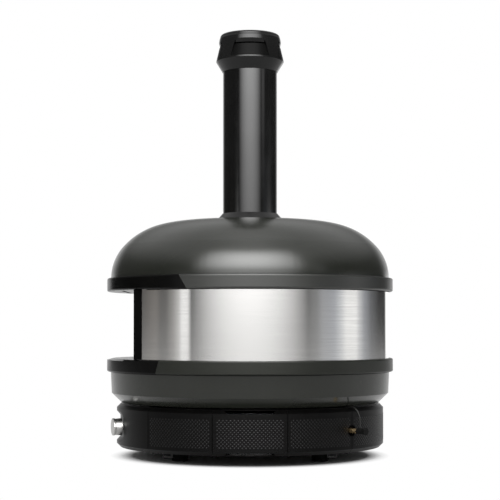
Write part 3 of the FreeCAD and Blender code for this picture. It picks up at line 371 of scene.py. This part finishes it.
def axes_of(tree, vector):
    return add_node(tree, "SeparateXYZ", {0: vector}).outputs


def round_place(tree, around, up):
    """Coordinates that run round the Z axis and up it, each with its own scale."""
    axes = axes_of(tree, object_place(tree))
    angle = maths(tree, "ARCTAN2", axes["Y"], axes["X"])
    values = {
        "X": maths(tree, "MULTIPLY", angle, around),
        "Y": maths(tree, "MULTIPLY", axes["Z"], up),
    }
    return add_node(tree, "CombineXYZ", values).outputs[0]


def noise(tree, place, scale, detail, roughness=0.5):
    values = {"Vector": place, "Scale": scale, "Detail": detail, "Roughness": roughness}
    return add_node(tree, "TexNoise", values).outputs["Fac"]


def between(tree, share, low, high, start=0.3, stop=0.7):
    """A value that runs from low to high while the share runs from start to stop."""
    values = {"Value": share, "From Min": start, "From Max": stop, "To Min": low, "To Max": high}
    return add_node(tree, "MapRange", values).outputs["Result"]


def as_colour(value):
    return value if isinstance(value, bpy.types.NodeSocket) else (*value, 1)


def blended(tree, share, first, second):
    values = {0: share, 6: as_colour(first), 7: as_colour(second)}
    return add_node(tree, "Mix", values, data_type="RGBA").outputs[2]


def relief(tree, height, strength, depth):
    values = {"Height": height, "Strength": strength, "Distance": depth}
    return add_node(tree, "Bump", values).outputs["Normal"]


# Materials


def new_surface(name, metallic=0.0, specular=0.5):
    made = bpy.data.materials.new(name)
    made.use_nodes = True
    shader = made.node_tree.nodes["Principled BSDF"]
    shader.inputs["Metallic"].default_value = metallic
    shader.inputs["Specular IOR Level"].default_value = specular
    return made, made.node_tree, shader


def grained(name, tones, broad, grain, rough, bump, flecks=None, rough_by="broad", **levels):
    """A surface with a broad drift between two tones and a fine grain in relief."""
    made, tree, shader = new_surface(name, **levels)
    place = object_place(tree)
    noises = {"broad": noise(tree, place, *broad), "grain": noise(tree, place, *grain)}
    tone = blended(tree, between(tree, noises["broad"], 0.0, 1.0), *tones)
    if flecks:
        colour, strength, start, stop = flecks
        spots = between(tree, noises["grain"], 0.0, strength, start, stop)
        tone = blended(tree, spots, tone, colour)
    set_socket(tree, shader.inputs["Base Color"], tone)
    set_socket(tree, shader.inputs["Roughness"], between(tree, noises[rough_by], *rough))
    set_socket(tree, shader.inputs["Normal"], relief(tree, noises["grain"], *bump))
    return made


def painted(name, roughness, specular, shade=1.0):
    return grained(
        name,
        # A shade below 1 darkens the paint's tones, which paints shade on the parts that use it
        tones=[[level * shade for level in tone] for tone in PAINT_TONES],
        broad=(6.0, 3.0),
        grain=FINE_GRAIN,
        rough=(roughness - 0.015, roughness + 0.015),
        bump=(0.03, FINE_DEPTH),
        flecks=PAINT_FLECKS,
        specular=specular,
    )


def black_enamel(name, roughness, specular):
    return grained(
        name,
        tones=BLACK_TONES,
        broad=(20.0, 4.0),
        grain=FINE_GRAIN,
        rough=(roughness - 0.03, roughness + 0.03),
        bump=(0.04, FINE_DEPTH),
        specular=specular,
    )


def satin_enamel(name, roughness, specular):
    return grained(
        name,
        tones=SATIN_TONES,
        broad=(22.0, 3.0),
        grain=FINE_GRAIN,
        rough=(roughness - 0.04, roughness + 0.04),
        bump=(0.05, FINE_DEPTH),
        specular=specular,
    )


def sheet_steel(name, tones, roughness, scale):
    return grained(
        name,
        tones=tones,
        broad=(scale, 5.0, 0.6),
        grain=FINE_GRAIN,
        rough=(roughness - 0.06, roughness + 0.08),
        bump=(0.12, FINE_DEPTH),
        metallic=1.0,
    )


def moulded(name, tones, roughness, scale=900.0, depth=0.0001, specular=0.09):
    return grained(
        name,
        tones=tones,
        broad=(30.0, 4.0),
        grain=(scale, 3.0),
        rough=(roughness - 0.05, roughness + 0.06),
        rough_by="grain",
        bump=(0.1, depth),
        specular=specular,
    )


def baked(name, tones, specks, scale, depth):
    return grained(
        name,
        tones=tones,
        broad=(16.0, 5.0, 0.6),
        grain=(scale, 4.0, 0.65),
        rough=(0.85, 0.97),
        rough_by="grain",
        bump=(0.35, depth),
        flecks=(specks, 0.6, 0.6, 0.75),
        specular=0.3,
    )


def brushed(name, tones, line_tone, rough):
    """Steel with lines drawn round the Z axis, and gloss that spreads across them."""
    made, tree, shader = new_surface(name, metallic=1.0)
    lines = noise(tree, round_place(tree, *LINE_SCALES), scale=1.0, detail=3.0, roughness=0.6)
    streaks = noise(tree, round_place(tree, *STREAK_SCALES), scale=1.0, detail=3.0, roughness=0.55)
    tone = blended(tree, between(tree, streaks, 0.0, 1.0), *tones)
    drawn = blended(tree, between(tree, lines, 0.0, 1.0, 0.36, 0.64), tone, line_tone)
    tangent = add_node(tree, "Tangent", direction_type="RADIAL", axis="Z").outputs[0]
    shader.inputs["Anisotropic"].default_value = 1.0
    shader.inputs["Anisotropic Rotation"].default_value = 0.25
    set_socket(tree, shader.inputs["Base Color"], drawn)
    set_socket(tree, shader.inputs["Roughness"], between(tree, lines, *rough))
    set_socket(tree, shader.inputs["Tangent"], tangent)
    return made


# All surfaces. A noise is its scale, detail and roughness, and a bump is its strength and depth.
SURFACES = {
    "body_paint": (painted, dict(roughness=0.225, specular=0.5)),
    # Darker copies of the body paint: painted shade on the lower shell and the two rings
    "lower_shell_shaded_paint": (painted, dict(roughness=0.20, specular=0.33, shade=0.9)),
    "upper_ring_shaded_paint": (painted, dict(roughness=0.36, specular=0.58, shade=0.5)),
    "lower_ring_shaded_paint": (painted, dict(roughness=0.38, specular=0.2, shade=0.8)),
    "mouth_black": (black_enamel, dict(roughness=0.22, specular=0.07)),
    # A dull black for the mouth frame and the shut lines, and for the painted shade under the rings
    "dull_black": (black_enamel, dict(roughness=0.55, specular=0.01)),
    "flue_enamel": (
        grained,
        dict(
            tones=((0.0032, 0.0032, 0.0031), (0.0052, 0.0052, 0.0050)),
            broad=(18.0, 3.0),
            grain=(320.0, 2.0),
            rough=(0.12, 0.17),
            bump=(0.03, 0.0004),
            specular=0.78,
        ),
    ),
    "cap_enamel": (satin_enamel, dict(roughness=0.18, specular=0.25)),
    "window_enamel": (satin_enamel, dict(roughness=0.3, specular=0.03)),
    "brushed_band": (
        brushed,
        dict(
            tones=((0.515, 0.510, 0.500), (0.540, 0.535, 0.525)),
            line_tone=(0.475, 0.470, 0.462),
            rough=(0.130, 0.142),
        ),
    ),
    "liner_steel": (
        sheet_steel,
        dict(tones=((0.30, 0.24, 0.17), (0.50, 0.47, 0.43)), roughness=0.42, scale=9.0),
    ),
    "structure_steel": (
        sheet_steel,
        dict(tones=((0.42, 0.43, 0.44), (0.58, 0.59, 0.60)), roughness=0.38, scale=60.0),
    ),
    "fastener_steel": (
        sheet_steel,
        dict(tones=((0.45, 0.45, 0.45), (0.62, 0.62, 0.61)), roughness=0.30, scale=300.0),
    ),
    "base_plastic": (moulded, dict(tones=BASE_TONES, roughness=0.34, scale=700.0, specular=0.08)),
    "dot_plastic": (moulded, dict(tones=BASE_TONES, roughness=0.32, specular=0.19)),
    "inner_plastic": (
        moulded,
        dict(tones=((0.004, 0.004, 0.004), (0.007, 0.007, 0.007)), roughness=0.36),
    ),
    "foot_rubber": (
        moulded,
        dict(tones=((0.003, 0.003, 0.003), (0.005, 0.005, 0.0048)), roughness=0.70, depth=0.0002),
    ),
    "cord_rubber": (
        moulded,
        dict(tones=((0.010, 0.010, 0.010), (0.016, 0.016, 0.015)), roughness=0.40, specular=0.25),
    ),
    "knob_metal": (
        grained,
        dict(
            tones=((0.40, 0.396, 0.385), (0.47, 0.465, 0.455)),
            broad=(60.0, 3.0),
            grain=(1300.0, 2.0),
            rough=(0.27, 0.36),
            rough_by="grain",
            bump=(0.08, 0.0001),
            metallic=1.0,
        ),
    ),
    "brass": (
        grained,
        dict(
            tones=((0.66, 0.47, 0.24), (0.80, 0.60, 0.34)),
            broad=(120.0, 4.0),
            grain=(1600.0, 2.0),
            rough=(0.18, 0.26),
            bump=(0.10, 0.0001),
            metallic=0.85,
        ),
    ),
    "stone": (
        baked,
        dict(
            tones=((0.46, 0.38, 0.28), (0.60, 0.51, 0.40)),
            specks=(0.30, 0.24, 0.18),
            scale=420.0,
            depth=0.0006,
        ),
    ),
    "board": (
        baked,
        dict(
            tones=((0.66, 0.64, 0.60), (0.78, 0.76, 0.72)),
            specks=(0.55, 0.53, 0.49),
            scale=240.0,
            depth=0.0012,
        ),
    ),
}


def make_surfaces():
    return {name: maker(name, **settings) for name, (maker, settings) in SURFACES.items()}


def dress_frame(frame, surfaces):
    nodes = frame["nodes"]
    for part in frame["record"]["subparts"]:
        dress(nodes[part["node"]], surfaces[part["material_slot"]])
    for name, surface in FINER_SURFACES.items():
        dress(nodes[name], surfaces[surface])


# Raised dots


def near_inlet(azimuth, height):
    across = math.radians(azimuth - INLET_AZIMUTH) * PANEL_R
    return math.hypot(across, height - INLET_HEIGHT) <= HOLE_ROOM


def dot_places(centre, columns):
    """Two grids of places, the second half a pitch aside from the first and one row lower."""
    step = math.degrees(DOT_PITCH / PANEL_R)
    places = []
    for offset in (0, 1):
        count = columns + offset
        for column in range(count):
            azimuth = centre + (column - (count - 1) / 2) * step
            for row in range(DOT_ROWS - offset):
                height = DOT_LOW + (row + offset / 2) * DOT_PITCH
                if not near_inlet(azimuth, height):
                    places.append((azimuth, height))
    return places


def dot_points(azimuth, height):
    turn = 2 * math.pi / DOT_SIDES
    points = []
    for share, rise in DOT_RINGS:
        reach = PANEL_R - DOT_SINK + rise * DOT_HEIGHT
        for side in range(DOT_SIDES):
            across = share * DOT_R * math.cos(side * turn)
            up = share * DOT_R * math.sin(side * turn)
            points.append(polar(reach, azimuth + math.degrees(across / PANEL_R), height + up))
    points.append(polar(PANEL_R + DOT_HEIGHT, azimuth, height))
    return points


def dot_faces(first):
    top = first + len(DOT_RINGS) * DOT_SIDES
    last = top - DOT_SIDES
    faces = []
    for side in range(DOT_SIDES):
        beside = (side + 1) % DOT_SIDES
        for low in range(first, last, DOT_SIDES):
            high = low + DOT_SIDES
            faces.append((low + side, low + beside, high + beside, high + side))
        faces.append((last + side, last + beside, top))
    faces.append([first + side for side in reversed(range(DOT_SIDES))])
    return faces


def make_dots(material):
    for field, (centre, columns) in DOT_FIELDS.items():
        points = []
        faces = []
        for azimuth, height in dot_places(centre, columns):
            faces += dot_faces(len(points))
            points += dot_points(azimuth, height)
        made = mesh_object(field + "_dots", points, faces)
        dress(made, material)
        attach(made, "oven")


# Painted shade under the rings, and shut lines


# Each strip is a dark sheet just off the surface below a ring, painted shade where the ring's shadow falls
def make_ring_painted_shades(material):
    for name, (reach, low, high, start, sweep) in RING_SHADE_STRIPS.items():
        points = []
        for step in range(SHADE_STRIP_SIDES + 1):
            azimuth = start + sweep * step / SHADE_STRIP_SIDES
            points += [polar(reach + SHADE_STRIP_LIFT, azimuth, height) for height in (low, high)]
        faces = [(first, first + 2, first + 3, first + 1) for first in range(0, SHADE_STRIP_SIDES * 2, 2)]
        made = mesh_object(name, points, faces)
        dress(made, material)
        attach(made, "oven")


def make_seams(material):
    outer = PANEL_R + SEAM_LIFT
    inner = outer - SEAM_SLOPE
    half = math.degrees(SEAM_WIDTH / 2 / PANEL_R)
    profile = [
        (inner, SEAM_LOW),
        (outer, SEAM_LOW + SEAM_SLOPE),
        (outer, SEAM_HIGH - SEAM_SLOPE),
        (inner, SEAM_HIGH),
    ]
    points = []
    faces = []
    for azimuth in SEAM_AZIMUTHS:
        for step, (reach, height) in enumerate(profile):
            first = len(points)
            points += [polar(reach, azimuth + side, height) for side in (-half, half)]
            if step > 0:
                faces.append((first - 2, first - 1, first + 1, first))
    made = mesh_object("panel_seams", points, faces, smooth=False)
    dress(made, material)
    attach(made, "oven")


# Studio


def softbox(name, azimuth, elevation, distance, width, height, radiance):
    """A flat lamp that faces the object and lights it without showing in its gloss."""
    data = bpy.data.lights.new(name, "AREA")
    data.shape = "RECTANGLE"
    data.size = width
    data.size_y = height
    data.energy = radiance * math.pi * width * height
    light = link_object(name, data)
    lift = math.radians(elevation)
    reach = polar(distance * math.cos(lift), azimuth, distance * math.sin(lift))
    light.location = reach + Vector((0, 0, LAMP_AIM))
    light.rotation_euler = (-reach).to_track_quat("-Z", "Y").to_euler()
    light.visible_camera = False
    light.visible_glossy = False


def ramp_of(tree, share, stops, reach):
    """Grey levels or colours at angles that run from minus reach to reach along the ramp."""
    node = add_node(tree, "ValToRGB", {"Fac": share})
    ramp = node.color_ramp
    while len(ramp.elements) < len(stops):
        ramp.elements.new(0.5)
    for element, (angle, *levels) in zip(ramp.elements, stops):
        grey = len(levels) == 1
        element.position = (angle + reach) / (2 * reach)
        element.color = (*(levels * 3 if grey else levels), 1)
    return node.outputs["Color"]


def fade(tree, angle, start, stop):
    """A share that grows from 0 to 1 while an angle in radians goes from start to stop, both in degrees."""
    return between(tree, angle, 0.0, 1.0, math.radians(start), math.radians(stop))


def lamp_patch(tree, turn, height_share, stops, azimuth, half, peak):
    """A patch of light that fades sideways as a parabola and upwards as its stops say."""
    across = maths(tree, "SUBTRACT", turn, math.radians(azimuth))
    across = maths(tree, "DIVIDE", across, math.radians(half))
    fall = maths(tree, "SUBTRACT", 1.0, maths(tree, "MULTIPLY", across, across))
    fall = maths(tree, "MULTIPLY", maths(tree, "MAXIMUM", fall, 0.0), peak)
    level = ramp_of(tree, height_share, stops, 90)
    return add_node(tree, "VectorMath", {0: level, "Scale": fall}, operation="SCALE").outputs[0]


def room_light(tree):
    """The room by direction: two bands of walls, a part overhead and two lamps."""
    axes = axes_of(tree, add_node(tree, "TexCoord").outputs["Generated"])
    turn = maths(tree, "ARCTAN2", axes["Y"], axes["X"])
    lift = maths(tree, "ARCSINE", axes["Z"])
    round_share = fade(tree, turn, -180, 180)
    height_share = fade(tree, lift, -90, 90)
    low = ramp_of(tree, round_share, LOW_BAND, 180)
    high = ramp_of(tree, round_share, HIGH_BAND, 180)
    overhead = ramp_of(tree, height_share, OVERHEAD, 90)
    walls = blended(tree, fade(tree, lift, *HIGH_BAND_START), low, high)
    room = blended(tree, fade(tree, lift, *OVERHEAD_START), walls, overhead)
    lamps = (
        (SIDE_LAMP, SIDE_LAMP_AZIMUTH, SIDE_LAMP_HALF, SIDE_LAMP_PEAK),
        (REAR_LAMP, REAR_LAMP_AZIMUTH, REAR_LAMP_HALF, REAR_LAMP_PEAK),
    )
    for lamp in lamps:
        patch = lamp_patch(tree, turn, height_share, *lamp)
        room = add_node(tree, "VectorMath", {0: room, 1: patch}, operation="ADD").outputs[0]
    return room


def make_world():
    """White to the camera, the room to gloss, and an even grey to the rest."""
    world = bpy.data.worlds.new("studio")
    bpy.context.scene.world = world
    world.use_nodes = True
    tree = world.node_tree
    tree.nodes.clear()
    seen = add_node(tree, "LightPath").outputs
    reflected = blended(tree, seen["Is Glossy Ray"], AMBIENT, room_light(tree))
    shown = blended(tree, seen["Is Camera Ray"], reflected, (1, 1, 1))
    backdrop = add_node(tree, "Background", {"Color": shown}).outputs[0]
    add_node(tree, "OutputWorld", {"Surface": backdrop})


def floor_white(tree):
    """The share of pure white: none near the base, and farther out only for the camera and in gloss."""
    axes = axes_of(tree, object_place(tree))
    squares = [maths(tree, "POWER", axes[axis], 2.0) for axis in "XY"]
    reach = maths(tree, "SQRT", maths(tree, "ADD", *squares))
    far = between(tree, reach, 0.0, 1.0, *FLOOR_TURNS_WHITE)
    seen = add_node(tree, "LightPath").outputs
    mirrored = maths(tree, "MULTIPLY", seen["Is Glossy Ray"], FLOOR_GLOSS)
    looked = maths(tree, "MAXIMUM", seen["Is Camera Ray"], mirrored)
    looked = maths(tree, "MAXIMUM", looked, seen["Is Transmission Ray"])
    return maths(tree, "MULTIPLY", far, looked)


def make_floor():
    bpy.ops.mesh.primitive_plane_add(size=FLOOR_SIZE)
    floor = bpy.context.object
    floor.name = "floor"
    made = bpy.data.materials.new("floor")
    made.use_nodes = True
    tree = made.node_tree
    tree.nodes.clear()
    plain = add_node(tree, "BsdfDiffuse", {"Color": as_colour([FLOOR_TONE] * 3)}).outputs[0]
    bright = add_node(tree, "Emission", {"Color": (1, 1, 1, 1)}).outputs[0]
    mixed = add_node(tree, "MixShader", {0: floor_white(tree), 1: plain, 2: bright}).outputs[0]
    add_node(tree, "OutputMaterial", {"Surface": mixed})
    dress(floor, made)


def make_studio():
    bpy.context.scene.view_settings.view_transform = "Standard"
    make_world()
    make_floor()
    for name, settings in SOFTBOXES.items():
        softbox(name, *settings)


# The whole


def main():
    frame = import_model()
    make_camera()
    tether = make_tether()
    surfaces = make_surfaces()
    dress_frame(frame, surfaces)
    dress(tether, surfaces["cord_rubber"])
    make_dots(surfaces["dot_plastic"])
    make_seams(surfaces["dull_black"])
    # Dark strips painted as the shade under the two rings
    make_ring_painted_shades(surfaces["dull_black"])
    make_studio()


main()
